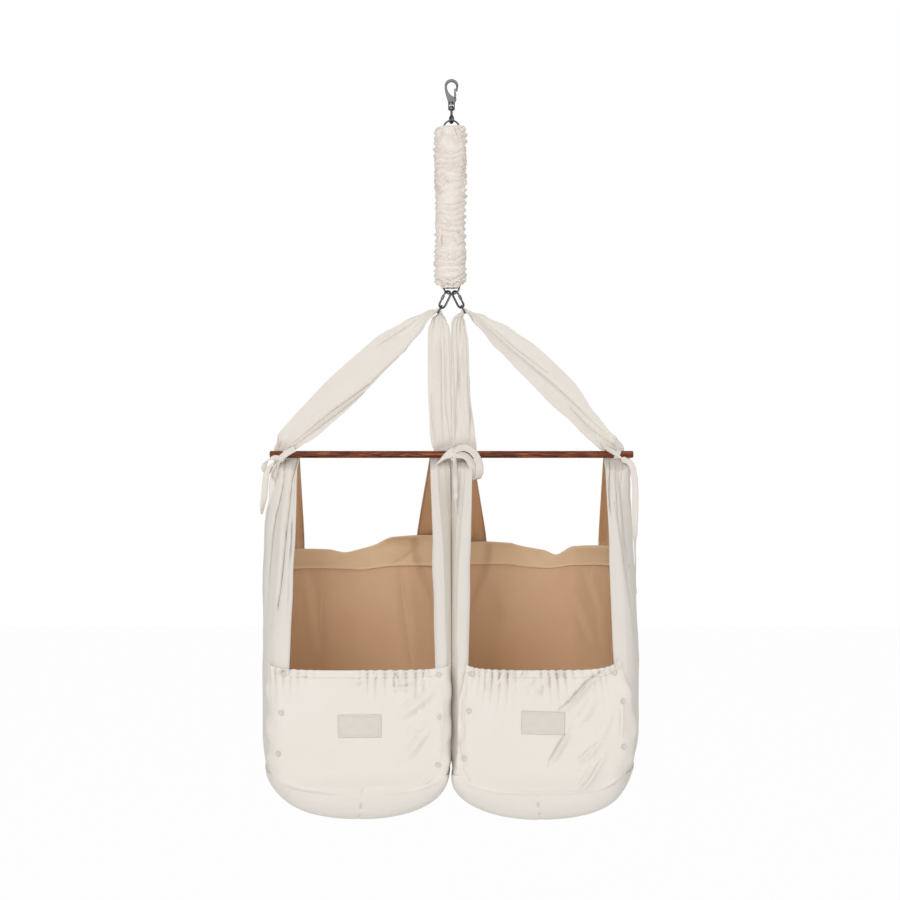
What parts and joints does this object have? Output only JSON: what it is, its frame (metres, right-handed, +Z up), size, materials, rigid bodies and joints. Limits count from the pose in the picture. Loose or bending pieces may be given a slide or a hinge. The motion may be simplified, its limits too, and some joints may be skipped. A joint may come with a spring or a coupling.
{
  "type": "hanging twin baby cradle",
  "caption": "Hanging twin cradle: cloth bags with lowering front flaps, side by side under a wooden spreader bar, on cloth straps, snap links, a covered extension spring and a swivel snap hook.",
  "frame": {"origin": "the hanging point: inner top of the snap hook's bow, where it bears on what holds it", "axes": "+X to the viewer's right along the bar, +Y to the back, +Z up; the front flaps face -Y"},
  "size_m": [0.88, 0.7872, 1.6068],
  "materials": {
    "hook_metal": "satin cast and plated metal",
    "spring_steel": "bright drawn wire",
    "cotton": "undyed woven cotton",
    "inner_cotton": "undyed woven cotton, seen in shade",
    "bar_wood": "oiled turned hardwood",
    "patch": "stitched cloth patch, left bare",
    "cap_plastic": "moulded snap cap",
    "mattress_cloth": "quilted wool-filled pad"
  },
  "bodies": {
    "snap_hook": {"hook_body": "hook_metal", "hook_gate_pin": "hook_metal"},
    "hook_gate": {"hook_gate": "hook_metal"},
    "swivel": {"swivel_eye": "hook_metal"},
    "spring_top": {"spring_top_loop": "spring_steel", "spring_coil": "spring_steel", "spring_cover": "cotton", "safety_strap": "cotton"},
    "spring_bottom": {"spring_bottom_loop": "spring_steel"},
    "rig": {"carabiner_left_body": "hook_metal", "carabiner_left_rivet": "hook_metal", "carabiner_right_body": "hook_metal", "carabiner_right_rivet": "hook_metal", "strap_ring_left": "hook_metal", "strap_ring_right": "hook_metal", "hanger_strap_left": "cotton", "hanger_strap_right": "cotton", "spreader_bar": "bar_wood"},
    "carabiner_left_gate": {"carabiner_left_gate": "hook_metal"},
    "carabiner_right_gate": {"carabiner_right_gate": "hook_metal"},
    "bag_left": {"bag_left_outer_side": "cotton", "bag_left_inner_side": "cotton", "bag_left_base": "cotton", "bag_left_back_panel": "inner_cotton", "bag_left_back_band": "inner_cotton", "bag_left_mattress": "mattress_cloth", "tie_left": "cotton"},
    "bag_right": {"bag_right_outer_side": "cotton", "bag_right_inner_side": "cotton", "bag_right_base": "cotton", "bag_right_back_panel": "inner_cotton", "bag_right_back_band": "inner_cotton", "bag_right_mattress": "mattress_cloth", "tie_center": "cotton", "tie_right": "cotton"},
    "flap_left": {"flap_left_panel": "cotton", "flap_left_elastic": "cotton", "flap_left_label": "patch", "flap_left_snap_1": "cap_plastic", "flap_left_snap_2": "cap_plastic", "flap_left_snap_3": "cap_plastic", "flap_left_snap_4": "cap_plastic", "flap_left_snap_5": "cap_plastic", "flap_left_snap_6": "cap_plastic"},
    "flap_right": {"flap_right_panel": "cotton", "flap_right_elastic": "cotton", "flap_right_label": "patch", "flap_right_snap_1": "cap_plastic", "flap_right_snap_2": "cap_plastic", "flap_right_snap_3": "cap_plastic", "flap_right_snap_4": "cap_plastic", "flap_right_snap_5": "cap_plastic", "flap_right_snap_6": "cap_plastic"}
  },
  "joints": [
    {"name": "hook_gate_pivot", "type": "hinge", "parent": "snap_hook", "child": "hook_gate", "pos_m": [0.0082, 0, -0.0382], "axis": [0, -1, 0], "range_deg": [0, 24], "stiffness_Nm_per_rad": 0.02, "springref_deg": -20.05},
    {"name": "swivel_turn", "type": "hinge", "parent": "snap_hook", "child": "swivel", "pos_m": [0, 0, -0.0572], "axis": [0, 0, 1], "continuous": true},
    {"name": "spring_swing", "type": "hinge", "parent": "swivel", "child": "spring_top", "pos_m": [0, 0, -0.0866], "axis": [1, 0, 0], "range_deg": [-20, 20]},
    {"name": "spring_stretch", "type": "slide", "parent": "spring_top", "child": "spring_bottom", "axis": [0, 0, -1], "range_m": [0, 0.2], "stiffness_N_per_m": 1000, "springref_m": -0.13, "deforming": ["spring_coil", "spring_cover", "safety_strap"]},
    {"name": "rig_tilt", "type": "hinge", "parent": "spring_bottom", "child": "rig", "pos_m": [0, 0, -0.4611], "axis": [0, 1, 0], "range_deg": [-12, 12]},
    {"name": "carabiner_left_pivot", "type": "hinge", "parent": "rig", "child": "carabiner_left_gate", "pos_m": [-0.02466, -0.00435, -0.49563], "axis": [-0.5727, 0.766, 0.2918], "range_deg": [0, 22], "stiffness_Nm_per_rad": 0.02, "springref_deg": -20.05},
    {"name": "carabiner_right_pivot", "type": "hinge", "parent": "rig", "child": "carabiner_right_gate", "pos_m": [0.02466, 0.00435, -0.49563], "axis": [0.5727, -0.766, 0.2918], "range_deg": [0, 22], "stiffness_Nm_per_rad": 0.02, "springref_deg": -20.05},
    {"name": "bag_left_swing", "type": "hinge", "parent": "rig", "child": "bag_left", "pos_m": [-0.212, 0, -0.84], "axis": [1, 0, 0], "range_deg": [-12, 12]},
    {"name": "bag_right_swing", "type": "hinge", "parent": "rig", "child": "bag_right", "pos_m": [0.212, 0, -0.84], "axis": [1, 0, 0], "range_deg": [-12, 12]},
    {"name": "flap_left_open", "type": "hinge", "parent": "bag_left", "child": "flap_left", "pos_m": [-0.195, -0.3852, -1.54], "axis": [1, 0, 0], "range_deg": [0, 160]},
    {"name": "flap_right_open", "type": "hinge", "parent": "bag_right", "child": "flap_right", "pos_m": [0.195, -0.3852, -1.54], "axis": [1, 0, 0], "range_deg": [0, 160]}
  ]
}
